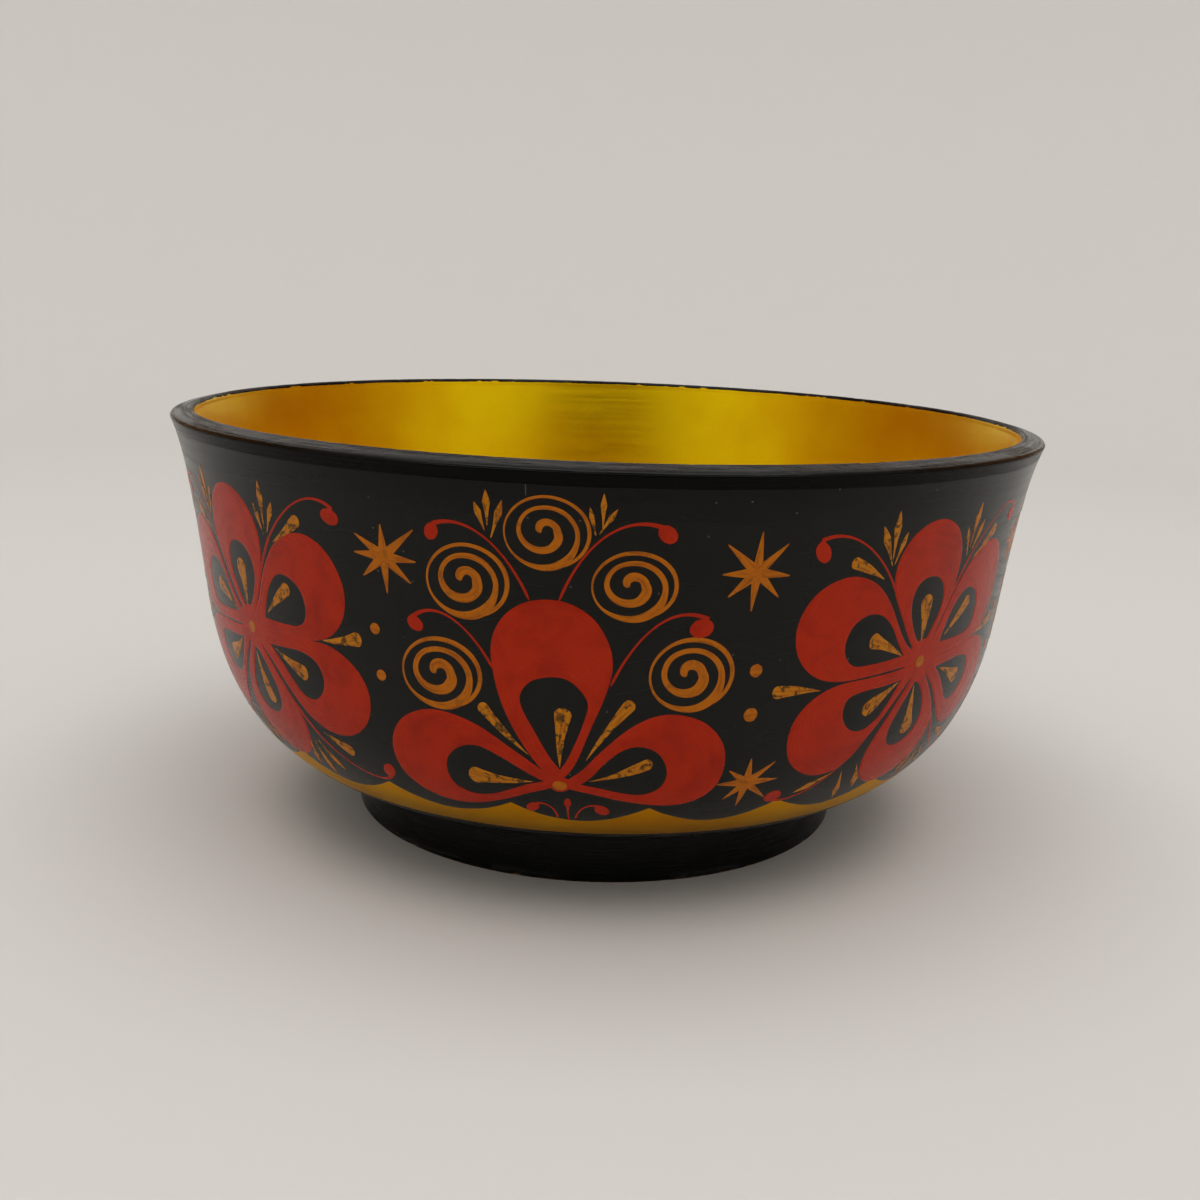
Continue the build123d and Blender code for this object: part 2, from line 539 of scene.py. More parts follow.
def outside_gold(material):
    """The gold ground outside, bare on the belly and under the black elsewhere."""
    piece = Piece("outside_gold", material, "gold_lacquer", "gold_belly_coat")
    reach = OUTSIDE.length - 2.0
    plain_lathe(piece, OUTSIDE, np.linspace(0.3, reach, 60), np.linspace(reach, 0.3, 14))


def scallop_edge(x):
    """How far up the wall the black ground starts: hanging scallops between gold peaks."""
    period = TURN / SCALLOPS
    cell = (x - SCALLOP_START) / period
    across = 2 * abs(cell - math.floor(cell) - 0.5)
    hand = 0.35 * wave(x, 0, 14.0, 3.0) + 0.08 * wave(x, 0, 2.5, 7.0)
    return SCALLOP_LOW + (SCALLOP_PEAK - SCALLOP_LOW) * across ** 1.9 + hand


def black_wall(material):
    """The black ground on the wall, with its scalloped lower edge."""
    piece = Piece("black_wall_ground", material, "black_ground", "black_wall_coat")
    top = OUTSIDE.length - 1.0
    rise = np.concatenate([[0.0, 0.004, 0.012], np.linspace(0.03, 1.0, 38)])
    lifts = np.concatenate([[-0.02, 0.7 * BLACK_LIFT], np.full(len(rise) - 2, BLACK_LIFT)])

    def loop_at(x):
        edge = scallop_edge(x)
        front = edge + rise * (top - edge)
        return band_loop(OUTSIDE, front, lifts, np.linspace(top, edge, 11), -UNDERCUT / 2)

    uneven_lathe(piece, 2 * ROUND, loop_at)


def rim_band(material):
    """The black gloss over the lip, uneven along its inner edge and dented by use."""
    piece = Piece("rim_band", material, "black_gloss_lacquer", "black_rim_coat")
    inner_start = np.interp(HEIGHT - RIM_BAND_INSIDE, LIP.points[:LIP_TOP, 1], LIP.lengths[:LIP_TOP])
    rise = np.linspace(0.0, 1.0, 36)
    shoulder = np.minimum(1.0, np.minimum(rise, 1 - rise) * 14)

    def loop_at(x):
        start = inner_start + 0.12 * wave(x, 0, 9.0, 11.0) + 0.06 * wave(x, 0, 1.8, 17.0)
        front = start + rise * (CORNER - start)
        dents = np.array([wave(x, s, 3.2, 31.0) + 0.5 * wave(x, s, 1.1, 37.0) for s in front])
        depth = 0.07 + 0.09 * math.exp(-((x - RIM_WORST) / 9.0) ** 2)
        lifts = -0.02 + 0.05 * shoulder - depth * shoulder * np.clip(dents - 0.05, 0, 1)
        return band_loop(LIP, front, lifts, np.linspace(CORNER, start, 7), -COAT)

    uneven_lathe(piece, 2 * ROUND, loop_at)


def under_lip(material):
    """The same black, duller, where it runs on over the lip's corner and down outside."""
    piece = Piece("rim_band_outside", material, "black_gloss_lacquer")
    start, end = CORNER - 0.25, down_outside(RIM_BAND_OUTSIDE)
    rise = np.linspace(0.0, 1.0, 16)
    lifts = np.where(rise > 0.97, 0.0, BLACK_LIFT + 0.02)
    lifts[0] = -0.02

    def loop_at(x):
        bottom = end + 0.10 * wave(x, 0, 12.0, 23.0)
        front = start + rise * (bottom - start)
        return band_loop(LIP, front, lifts, np.linspace(bottom, start, 4), -UNDERCUT)

    uneven_lathe(piece, ROUND, loop_at)


def foot_band(material):
    """The black on the foot's side and the belly's underside, worn along the table's edge."""
    piece = Piece("foot_band", material, "black_gloss_lacquer", "black_foot_coat")
    corner, line = FOOT.up_to(FOOT_TOP[1]), FOOT.up_to(UNDERSIDE_TOP)
    rise = np.concatenate([[0.0, 0.004, 0.012], np.linspace(0.03, 0.996, 52), [1.0]])
    lifts = np.full(len(rise), BLACK_LIFT)
    lifts[[0, -1]] = 0.0

    def loop_at(x):
        chips = max(0.0, wave(x, 0, 4.0, 41.0) - 0.25) + 0.5 * max(0.0, wave(x, 0, 1.2, 43.0) - 0.2)
        bottom = 0.04 + 0.5 * chips
        top = line + 0.2 * wave(x, 0, 16.0, 47.0)
        front = bottom + rise * (top - bottom)
        behind = np.array([top, (top + corner) / 2, corner, bottom])
        return band_loop(FOOT, front, lifts, behind, -UNDERCUT)

    uneven_lathe(piece, ROUND, loop_at)


def recess_coat(material):
    """The black gloss in the recess under the foot, flat with a rounded corner and a side."""
    piece = Piece("recess_coat", material, "black_gloss_lacquer", "black_recess_coat")
    edge, low, high = RECESS_HIGH[0], RECESS_LOW[2], RECESS_DEPTH
    corner = bezier(((edge - 2.2, high), (edge - 1.5, high), (edge - 1.3, high - 0.5), (edge - 0.2, low)), 10)
    flat = np.stack([np.linspace(0.0, edge - 2.6, 30), np.full(30, high)], axis=-1)
    front = np.concatenate([flat, corner])
    back = front[::-1] + np.array([0.0, COAT])
    back[0] = front[-1] + np.array([COAT, 0.0])
    loop = np.concatenate([front, back])
    lathe(piece, np.repeat(loop[None], ROUND // 2, axis=0), loop[:, 0])
    piece.build()


# ---- strokes of paint

class Hand:
    """Where a motif is painted: its heart on the band, and its turn in degrees."""

    def __init__(self, x, s, turn=0.0):
        self.x = x
        self.s = s
        self.turn = math.radians(turn)

    def on_band(self, points):
        """Move a motif's own points, in millimetres from its heart, to the band."""
        points = np.atleast_2d(np.array(points, dtype=float))
        cos, sin = math.cos(self.turn), math.sin(self.turn)
        x = self.x + points[:, 0] * cos - points[:, 1] * sin
        s = self.s + points[:, 0] * sin + points[:, 1] * cos
        return np.stack([x, s], axis=-1)


def flowing(points, count):
    """A closed outline drawn smoothly through points, with a corner at the first one."""
    points = np.concatenate([points, points[:1]])
    before = np.concatenate([points[:1], points[:-1]])
    after = np.concatenate([points[1:], points[-1:]])
    pull = (after - before) / 6
    spans = [bezier((a, a + p, b - q, b), 24)[:-1]
             for a, b, p, q in zip(points[:-1], points[1:], pull[:-1], pull[1:])]
    line = np.concatenate(spans + [points[-1:]])
    run = run_along(line)
    steps = np.linspace(0.0, run[-1], count, endpoint=False)
    return np.stack([np.interp(steps, run, column) for column in line.T], axis=-1)


class Painter:
    """Lays strokes on one piece, each with its own place in the brush texture."""

    def __init__(self, piece, seed, bed):
        self.piece = piece
        self.random = random.Random(seed)
        self.bed = bed                  # lift of the stroke's edges above the gold ground
        self.sink = bed - PAINT         # its underside

    def ribbon(self, line, widths):
        """A stroke along a line on the band, with a full width at each point.

        The brush pushes the paint aside, so its ridges are a little way in from its edges.
        """
        across = np.array([-1.0, -0.86, -0.62, -0.3, 0.0, 0.3, 0.62, 0.86, 1.0])
        height = np.array([0.0, 0.75, 1.0, 0.82, 0.72, 0.82, 1.0, 0.75, 0.0])
        step = unit(np.gradient(line, axis=0))
        side = np.stack([-step[:, 1], step[:, 0]], axis=-1)
        top = line[:, None] + side[:, None] * (across[None, :, None] * widths[:, None, None] / 2)
        body = np.minimum(1.0, widths / 0.9)[:, None]
        lift = self.bed + PAINT * body * height[None, :]
        offset = self.random.uniform(0, 400)
        along = offset + run_along(line)[:, None] + np.zeros(13)
        distance = np.concatenate([across, [1.0, 0.0, -1.0, -1.0]])
        v = offset + distance[None, :] * widths[:, None] / 2
        self.lay(top, [8, 4, 0], lift, along, v, False)

    def ring(self, outer, inner):
        """The paint between two closed outlines with matching points."""
        across = np.array([0.0, 0.03, 0.07, 0.15, 0.28, 0.42, 0.58, 0.72, 0.85, 0.93, 0.97, 1.0])
        top = inner[:, None] + (outer - inner)[:, None] * across[None, :, None]
        gap = np.linalg.norm(outer - inner, axis=1)
        near = np.minimum(across, 1 - across)[None, :] * gap[:, None]
        ridge = 1.0 + 0.25 * np.exp(-((near - 0.45) / 0.25) ** 2)
        lift = self.bed + PAINT * np.minimum(1.0, near / 0.3) ** 0.6 * ridge
        offset = self.random.uniform(0, 400)
        middle = (outer + inner) / 2
        along = offset + run_along(np.concatenate([middle, middle[:1]]))[:, None] + np.zeros(17)
        shares = np.concatenate([across, [1.0, 0.67, 0.33, 0.0, 0.0]])
        v = offset + shares[None, :] * np.append(gap, gap[0])[:, None]
        self.lay(top, [11, 7, 4, 0], lift, along, v, True)

    def lay(self, top, under, lift, along, v, closed):
        """Lay a stroke's top on the wall, with an underside below some of its columns."""
        flat = np.concatenate([top, top[:, under]], axis=1)
        sink = np.full((len(top), len(under)), self.sink)
        radius, height = OUTSIDE.at(flat[..., 1], np.concatenate([lift, sink], axis=1))
        self.piece.add(round_axis(flat[..., 0], radius, height), along, v, closed)

    def dot(self, centre, radius, stretch=1.0, lean=0.0):
        """A touch of the brush: a round or oval blob, longer along its lean."""
        share = -np.cos(np.linspace(0, np.pi, 19))
        direction = np.array([math.cos(lean), math.sin(lean)])
        line = np.array(centre) + share[:, None] * direction * radius * stretch
        ragged = 1 + 0.05 * np.array([self.random.uniform(-1, 1) for _ in share])
        self.ribbon(line, 2 * radius * np.sqrt(np.maximum(0, 1 - share ** 2)) * ragged)

    def drop(self, head, tail, width):
        """A drop-shaped touch: the brush pressed at its head and drawn out to a thin tail."""
        share = (1 - np.cos(np.linspace(0, np.pi, 34))) / 2
        length = np.linalg.norm(tail - head)
        bow = self.random.uniform(-0.04, 0.04) * length
        side = np.array([head[1] - tail[1], tail[0] - head[0]]) / length
        line = head + share[:, None] * (tail - head) + (share * (1 - share) * 4 * bow)[:, None] * side
        round_part = 0.45 * width / length
        start = np.clip(share / round_part, 0, 1)
        taper = np.clip((1 - share) / (1 - round_part), 0, 1) ** 1.15
        uneven = 1 + 0.07 * np.sin(share * 9 + self.random.uniform(0, 6))
        body = width * np.sqrt(start * (2 - start)) * taper * uneven
        self.ribbon(line, body + 0.14 * np.sin(share * np.pi) ** 0.5)

    def leaf(self, stalk, tip, width):
        """A pointed leaf, widest near its tip, that narrows down to a thin stalk."""
        share = np.linspace(0, 1, 30)
        line = stalk + share[:, None] * (tip - stalk)
        blade = np.where(share < 0.66, (share / 0.66) ** 1.7, (np.clip(1 - share, 0, 1) / 0.34) ** 0.8)
        self.ribbon(line, width * blade + 0.2 * np.minimum(1, share * 20) * (1 - share))

    def tendril(self, controls, berry, radius, stretch, lean):
        """A thin stem along a Bezier curve that swells into a berry at its tip."""
        line = bezier(controls, 40)
        share = np.linspace(0, 1, 40)
        width = 0.25 + 0.45 * share ** 4 + 0.22 * (1 - share) ** 4
        self.ribbon(line, width * np.minimum(1, share * 20 + 0.2))
        self.dot(berry, radius, stretch, lean)
        self.ribbon(bezier((line[-1], line[-1], berry, berry), 6), np.linspace(width[-1], radius, 6))

    def spiral(self, centre, wide, tall, turn, weight):
        """A scroll from a thick hook at its middle out to a ring that meets itself."""
        turned, reach, width = np.array(SCROLL).T
        fine = np.linspace(0, turned[-1], 230)
        soft = np.hanning(11) / np.hanning(11).sum()
        reach, width = [np.convolve(np.pad(np.interp(fine, turned, values), 5, mode="edge"), soft, "valid")
                        for values in (reach, width)]
        angle = np.radians(SCROLL_START + turn - fine)
        line = centre + np.stack([np.cos(angle) * reach * wide, np.sin(angle) * reach * tall], axis=-1)
        width = width * np.minimum(1, np.sqrt((fine + 2) / 24)) * np.minimum(1, (turned[-1] - fine) / 20)
        ragged = 1 + 0.06 * np.sin(fine / 23 + self.random.uniform(0, 6))
        self.ribbon(line, weight * width * ragged)

    def star(self, centre, tips):
        """Rays drawn out from a solid middle, thin at their tips."""
        for tip in tips:
            tip = np.array(tip, dtype=float)
            share = np.linspace(0, 1, 20)
            width = self.random.uniform(1.75, 2.05)
            line = centre + (share[:, None] * 1.12 - 0.12) * tip
            self.ribbon(line, width * np.minimum(1, share * 7 + 0.2) * (1 - share) ** 0.85)


# ---- motifs
# Every shape is in millimetres from its motif's heart: (across, up).

# A petal is the paint between its outline and its black eye, both closed at their first point.
HALF_PETALS = (
    (((-0.2, 0.5), (-2.7, 2.7), (-6.2, 8.1), (-8.7, 13.5), (-10.0, 19.0), (-9.9, 22.8), (-8.2, 26.1),
      (-5.3, 28.2), (-2.0, 28.9), (1.5, 28.4), (4.8, 26.3), (7.0, 22.8), (7.6, 19.3), (6.7, 15.3),
      (4.7, 10.1), (2.4, 4.0)),
     ((0.1, 3.1), (-1.6, 5.5), (-3.9, 9.7), (-5.6, 13.0), (-5.7, 15.1), (-4.2, 16.9), (-1.6, 17.7),
      (1.0, 17.5), (3.1, 15.9), (4.2, 13.9), (3.6, 11.1), (2.4, 7.7), (1.1, 4.7))),
    (((-0.2, 0.5), (-3.5, 3.4), (-7.5, 6.3), (-12.5, 9.5), (-17.5, 11.0), (-21.6, 10.8), (-25.5, 8.7),
      (-27.8, 5.1), (-28.1, 1.1), (-26.6, -2.3), (-23.3, -4.9), (-19.0, -6.0), (-14.5, -5.6),
      (-9.5, -3.9), (-5.0, -1.9), (-1.6, -0.6)),
     ((-2.6, 0.7), (-5.2, 2.1), (-8.8, 4.3), (-12.6, 6.0), (-15.6, 5.6), (-18.0, 3.5), (-18.7, 0.7),
      (-17.8, -1.9), (-15.2, -3.3), (-12.0, -3.1), (-8.6, -1.7), (-5.4, -0.2))),
    (((0.2, 0.5), (3.4, 3.1), (6.5, 6.7), (10.4, 10.4), (14.2, 12.4), (18.0, 12.6), (22.0, 11.2),
      (25.0, 8.1), (26.1, 4.3), (25.6, 0.5), (23.3, -2.3), (19.5, -3.7), (15.0, -3.6), (10.0, -2.7),
      (5.5, -1.5), (1.8, -0.6)),
     ((3.4, 0.5), (5.0, 1.9), (7.2, 4.7), (9.8, 6.9), (12.4, 7.5), (15.0, 6.5), (16.6, 4.1),
      (16.8, 1.7), (15.6, -0.3), (13.2, -1.3), (10.0, -1.0), (6.6, -0.2))),
)
FULL_PETALS = (
    (((0.0, 0.3), (-3.4, 3.8), (-6.2, 7.6), (-8.4, 11.0), (-9.6, 14.4), (-8.9, 17.8), (-6.6, 20.5),
      (-3.2, 21.8), (0.4, 21.4), (3.6, 19.4), (5.5, 16.2), (5.7, 12.6), (4.4, 8.4), (2.4, 4.4)),
     ((-0.8, 2.6), (-2.8, 4.8), (-4.4, 7.8), (-4.8, 10.4), (-3.8, 12.5), (-1.6, 13.3), (1.0, 12.8),
      (2.8, 10.8), (3.0, 8.2), (1.8, 5.4), (0.4, 3.4))),
    (((0.0, 0.3), (-4.2, 2.8), (-7.2, 6.2), (-9.8, 9.8), (-13.2, 13.0), (-17.2, 14.5), (-21.0, 14.1),
      (-24.2, 12.1), (-26.1, 8.6), (-25.9, 4.8), (-23.9, 1.8), (-20.8, 0.0), (-16.7, -0.6),
      (-11.2, -0.4), (-5.7, -0.1)),
     ((-4.6, 1.6), (-6.6, 4.0), (-8.6, 6.6), (-11.0, 8.4), (-13.6, 8.8), (-16.2, 7.6), (-17.4, 5.2),
      (-17.0, 2.8), (-15.0, 1.2), (-11.6, 1.1), (-7.8, 1.3))),
    (((0.0, -0.3), (-5.7, -1.0), (-11.2, -1.3), (-17.4, -1.7), (-21.4, -3.2), (-24.0, -5.8), (-24.8, -9.0),
      (-23.9, -12.4), (-21.5, -15.0), (-17.8, -16.6), (-13.8, -16.4), (-10.9, -14.4), (-9.0, -11.4),
      (-6.4, -7.6), (-3.4, -3.8)),
     ((-4.0, -2.4), (-7.6, -2.8), (-11.6, -3.0), (-14.8, -3.7), (-15.6, -5.5), (-14.9, -7.6),
      (-12.9, -9.3), (-10.2, -9.6), (-7.8, -8.2), (-5.8, -5.6))),
    (((0.0, -0.3), (-1.9, -4.0), (-4.4, -8.0), (-6.4, -12.0), (-6.9, -15.6), (-5.6, -18.8), (-2.6, -21.2),
      (1.2, -22.0), (5.2, -21.2), (8.6, -18.4), (9.9, -14.4), (8.6, -10.4), (5.4, -6.2), (2.0, -2.4)),
     ((0.0, -3.2), (-2.0, -6.8), (-3.3, -10.0), (-3.0, -12.6), (-1.2, -14.1), (1.8, -14.0), (4.2, -12.2),
      (4.6, -9.4), (3.2, -6.2), (1.4, -4.0))),
    (((0.0, 0.3), (3.7, 4.9), (5.4, 8.4), (7.7, 11.8), (10.2, 14.4), (13.7, 16.3), (17.4, 16.7),
      (20.6, 15.4), (22.9, 12.7), (24.0, 9.4), (23.5, 6.0), (21.4, 3.2), (18.2, 1.6), (14.2, 1.0),
      (8.2, 0.8)),
     ((4.8, 2.4), (5.9, 5.4), (7.3, 7.8), (9.4, 9.7), (11.8, 10.0), (14.4, 8.8), (15.6, 6.6),
      (15.4, 4.2), (13.8, 2.8), (10.2, 2.4))),
    (((0.0, -0.1), (7.2, 0.2), (13.2, 0.4), (19.2, 0.6), (23.0, -0.6), (25.9, -3.0), (27.0, -6.0),
      (26.2, -9.4), (23.6, -12.2), (20.0, -13.6), (15.7, -13.4), (11.8, -11.2), (8.6, -7.8), (5.2, -4.2)),
     ((5.2, -1.7), (8.6, -1.5), (13.2, -1.3), (16.6, -2.2), (18.0, -4.6), (17.3, -7.0), (15.0, -8.7),
      (12.3, -8.4), (10.0, -6.2), (7.6, -3.7))),
)

# Drops: head, tail, width
HALF_DROPS = (
    ((0.7, 13.3), (0.1, 3.2), 2.4),
    ((-15.0, 0.8), (-4.0, 0.5), 2.8),
    ((14.4, 4.9), (4.6, 1.1), 2.0),
    ((-12.0, 13.0), (-4.4, 5.1), 1.8),
    ((10.8, 14.6), (4.0, 4.7), 1.8),
)
FULL_DROPS = (
    ((-1.4, 10.6), (-0.7, 2.6), 2.8),
    ((-12.7, 5.0), (-4.6, 1.4), 2.3),
    ((-11.4, -6.7), (-4.2, -2.5), 2.6),
    ((2.0, -12.4), (0.0, -3.6), 2.7),
    ((12.3, 8.4), (5.4, 3.0), 2.2),
    ((14.4, -5.0), (6.4, -2.0), 2.4),
    ((-18.8, 17.1), (-11.6, 13.7), 1.9),
    ((-29.2, -1.6), (-20.4, -2.0), 2.1),
    ((16.6, 19.3), (9.2, 14.5), 1.9),
    ((26.8, 3.0), (18.4, 1.4), 2.1),
    ((20.8, -17.2), (14.4, -14.5), 2.0),
)

# Tendrils: four Bezier points, then the berry's centre, radius, stretch and lean in degrees
HALF_TENDRILS = (
    (((-4.4, 28.6), (-7.6, 35.6), (-12.8, 40.4), (-18.0, 38.3)), (-18.3, 37.2), 1.0, 1.25, 70),
    (((-0.3, 28.6), (2.4, 35.8), (7.4, 41.6), (13.6, 39.4)), (14.2, 38.5), 1.15, 1.3, -40),
    (((-9.8, 18.4), (-12.4, 23.0), (-17.6, 28.6), (-22.4, 24.4)), (-21.7, 23.7), 1.0, 1.35, -30),
    (((7.4, 16.8), (9.8, 22.4), (14.6, 29.6), (20.9, 26.6)), (20.0, 25.3), 1.35, 1.3, 12),
    (((-0.6, -7.5), (-0.8, -5.2), (-2.4, -3.2), (-4.4, -4.4)), (-4.8, -5.1), 0.95, 1.35, 42),
    (((1.3, -8.2), (1.2, -6.8), (1.2, -5.5), (1.2, -4.4)), (1.2, -3.6), 0.6, 1.75, 90),
    (((2.5, -7.5), (2.8, -5.0), (4.8, -3.2), (6.6, -4.3)), (7.0, -5.1), 1.05, 1.35, -38),
)
FULL_TENDRILS = (
    (((-9.0, 11.6), (-12.4, 17.2), (-19.4, 22.8), (-24.6, 20.4)), (-24.0, 18.7), 1.15, 1.45, -55),
    (((8.8, 15.2), (13.2, 20.4), (19.6, 24.8), (23.8, 21.4)), (23.1, 20.3), 1.15, 1.45, -12),
    (((13.0, -15.3), (17.6, -19.8), (24.4, -23.0), (27.6, -20.2)), (27.6, -18.9), 1.1, 1.4, 62),
    (((-10.6, -13.6), (-13.6, -18.6), (-19.8, -22.6), (-23.6, -21.4)), (-24.2, -20.4), 1.25, 1.3, 5),
)

# Spirals: centre, half width, half height, turn in degrees, and how hard the brush was pressed
HALF_SPIRALS = (
    ((-1.95, 38.1), 5.95, 5.25, 0, 0.96),
    ((-13.35, 30.55), 6.1, 5.35, -4, 1.21),
    ((10.2, 31.1), 6.0, 4.9, 6, 1.15),
    ((-17.9, 16.75), 6.4, 5.3, 3, 1.32),
    ((19.2, 18.5), 6.3, 5.4, 10, 1.30),
)
# The scroll that each spiral follows: degrees turned, reach as a share of its half width, brush width
SCROLL = (
    (0, 0.13, 0.75), (30, 0.22, 1.0), (56, 0.28, 1.1), (84, 0.30, 1.05), (115, 0.275, 1.05),
    (172, 0.235, 1.15), (234, 0.343, 1.3), (257, 0.42, 1.2), (285, 0.487, 1.08), (311, 0.55, 0.92),
    (357, 0.645, 0.64), (410, 0.70, 0.60), (452, 0.675, 0.64), (505, 0.663, 0.66), (547, 0.70, 0.72),
    (566, 0.735, 0.92), (581, 0.786, 1.12), (601, 0.846, 1.22), (622, 0.91, 0.98), (640, 0.935, 0.74),
    (669, 0.968, 0.46), (687, 0.99, 0.30), (720, 0.985, 0.28), (756, 0.968, 0.38), (793, 0.972, 0.46),
    (832, 0.955, 0.56), (868, 0.96, 0.60), (904, 0.955, 0.54), (930, 0.945, 0.50), (955, 0.93, 0.45),
    (978, 0.925, 0.30),
)
SCROLL_START = 176

# Leaf sprigs: each leaf's stalk end, tip and width
HALF_LEAVES = (
    ((-10.5, 37.9), (-11.8, 41.9), 0.95), ((-10.1, 38.6), (-10.1, 43.7), 1.05),
    ((-9.7, 36.9), (-7.9, 42.4), 1.0), ((4.6, 38.0), (3.7, 42.0), 0.7),
    ((5.5, 39.0), (5.5, 44.0), 0.8), ((5.0, 38.2), (7.4, 41.9), 0.75),
)
FULL_LEAVES = (
    ((-10.9, 15.8), (-14.2, 22.0), 1.35), ((-11.1, 16.8), (-11.7, 24.1), 1.4),
    ((-10.6, 16.0), (-9.1, 20.8), 0.95), ((7.6, 15.6), (6.0, 20.2), 1.0),
    ((8.0, 16.6), (8.4, 23.8), 1.4), ((8.6, 16.0), (10.9, 20.9), 1.15),
    ((-13.0, -16.9), (-20.2, -20.3), 1.2), ((-8.0, -16.4), (-5.2, -22.2), 1.6),
    ((-11.2, -17.0), (-8.6, -24.2), 1.3), ((12.0, -16.6), (15.6, -22.2), 1.4),
    ((10.8, -17.0), (11.6, -24.4), 1.4), ((9.6, -16.4), (8.0, -23.0), 1.2),
)

# Stars: centre, then the tip of each ray from there
HALF_STARS = (
    ((27.3, 33.1),
     ((0.1, 6.3), (4.5, 4.3), (5.4, -0.6), (4.0, -3.9), (-0.3, -5.9), (-4.2, -3.6), (-5.4, -0.2),
      (-5.0, 4.3))),
    ((-26.2, 32.8),
     ((-0.1, 4.9), (5.5, 4.6), (5.6, -0.3), (4.5, -3.7), (0.2, -5.7), (-4.0, -3.4), (-5.4, 0.1),
      (-5.0, 3.0))),
    ((30.7, 0.3),
     ((-0.2, 4.8), (4.4, 3.7), (5.7, 0.2), (4.7, -3.8), (-0.3, -5.3), (-3.4, -3.4), (-5.5, 0.0),
      (-3.7, 2.7))),
)
HALF_DOTS = (((28.9, 18.9), 0.98), ((28.9, 12.2), 1.1), ((-28.7, 22.0), 0.85), ((-28.2, 15.1), 0.85))

# The seams between petals, from near the heart outwards: red stems that feed the tendrils
FULL_STEMS = (
    ((-1.2, 1.6), (-4.4, 5.4), (-6.8, 8.4), (-9.1, 11.8)),
    ((1.4, 2.0), (3.6, 6.4), (6.0, 11.6), (8.9, 15.4)),
    ((-1.4, -1.8), (-4.8, -5.8), (-7.8, -10.0), (-10.7, -13.8)),
    ((1.6, -1.8), (5.4, -6.2), (9.4, -11.2), (13.2, -15.5)),
)

HALF_HEART = (-7.0, 27.5)
FULL_HEART = (54.2, 44.4)
FULL_SPREAD = 0.32          # the full flower's petals are this much larger than their outlines
HALF_MEETING = 1.5          # radius of the paint where the petals meet
FULL_MEETING = 3.3
# How far each repeat strays from its even place: (across, up, turn) of the half flower and the full one
HALF_STRAY = ((0.0, 0.0, 0.0), (1.1, -0.3, 0.9), (-0.8, 0.4, -1.4), (0.9, 0.2, 1.2))
FULL_STRAY = ((0.0, 0.0, 0.0), (-0.7, 0.3, -1.8), (1.2, -0.4, 1.5), (-1.6, 0.2, 0.0))


def grown(outline, spread):
    """A closed outline moved outwards by spread, whichever way round it was drawn."""
    step = unit(np.roll(outline, -1, axis=0) - np.roll(outline, 1, axis=0))
    side = np.stack([step[:, 1], -step[:, 0]], axis=-1)
    across, up = outline.T
    area = np.sum(across * np.roll(up, -1) - np.roll(across, -1) * up)
    return outline + side * spread * np.sign(area)


def petals(painter, hand, shapes, spread, meeting):
    """The petals, each larger than its outline by spread, and the paint where they meet."""
    for outline, eye in shapes:
        outer = grown(flowing(hand.on_band(outline), PETAL_STEPS), spread)
        painter.ring(outer, flowing(hand.on_band(eye), PETAL_STEPS))
    painter.dot(hand.on_band((0.0, 0.3))[0], meeting, 1.2)


def ornaments(brushes, hand, drops, tendrils, leaves):
    """The strokes that both kinds of flower have around them."""
    for head, tail, width in drops:
        brushes["drops"].drop(*hand.on_band((head, tail)), width)
    for controls, berry, radius, stretch, lean in tendrils:
        leaning = math.radians(lean) + hand.turn
        brushes["stems"].tendril(hand.on_band(controls), hand.on_band(berry)[0], radius, stretch, leaning)
    for stalk, tip, width in leaves:
        brushes["leaves"].leaf(*hand.on_band((stalk, tip)), width)


def half_flower(brushes, hand):
    """Three petals over a scallop, with scrolls, tendrils, stars and dots round them."""
    petals(brushes["petals"], hand, HALF_PETALS, 0.0, HALF_MEETING)
    ornaments(brushes, hand, HALF_DROPS, HALF_TENDRILS, HALF_LEAVES)
    for centre, *shape in HALF_SPIRALS:
        brushes["scrolls"].spiral(hand.on_band(centre)[0], *shape)
    for centre, tips in HALF_STARS:
        brushes["stars"].star(hand.on_band(centre)[0], tips)
    for centre, radius in HALF_DOTS:
        brushes["stars"].dot(hand.on_band(centre)[0], radius)
    brushes["hearts"].dot(hand.on_band((0.0, 0.1))[0], 0.9, 1.3)


def full_flower(brushes, hand):
    """Six petals round a heart, with drops, tendrils and sprigs between them."""
    petals(brushes["petals"], hand, FULL_PETALS, FULL_SPREAD, FULL_MEETING)
    ornaments(brushes, hand, FULL_DROPS, FULL_TENDRILS, FULL_LEAVES)
    for controls in FULL_STEMS:
        line = bezier(hand.on_band(controls), 24)
        brushes["stems"].ribbon(line, np.linspace(0.5, 0.58, 24))
    brushes["hearts"].dot(hand.on_band((0.0, 0.0))[0], 0.95, 1.1)


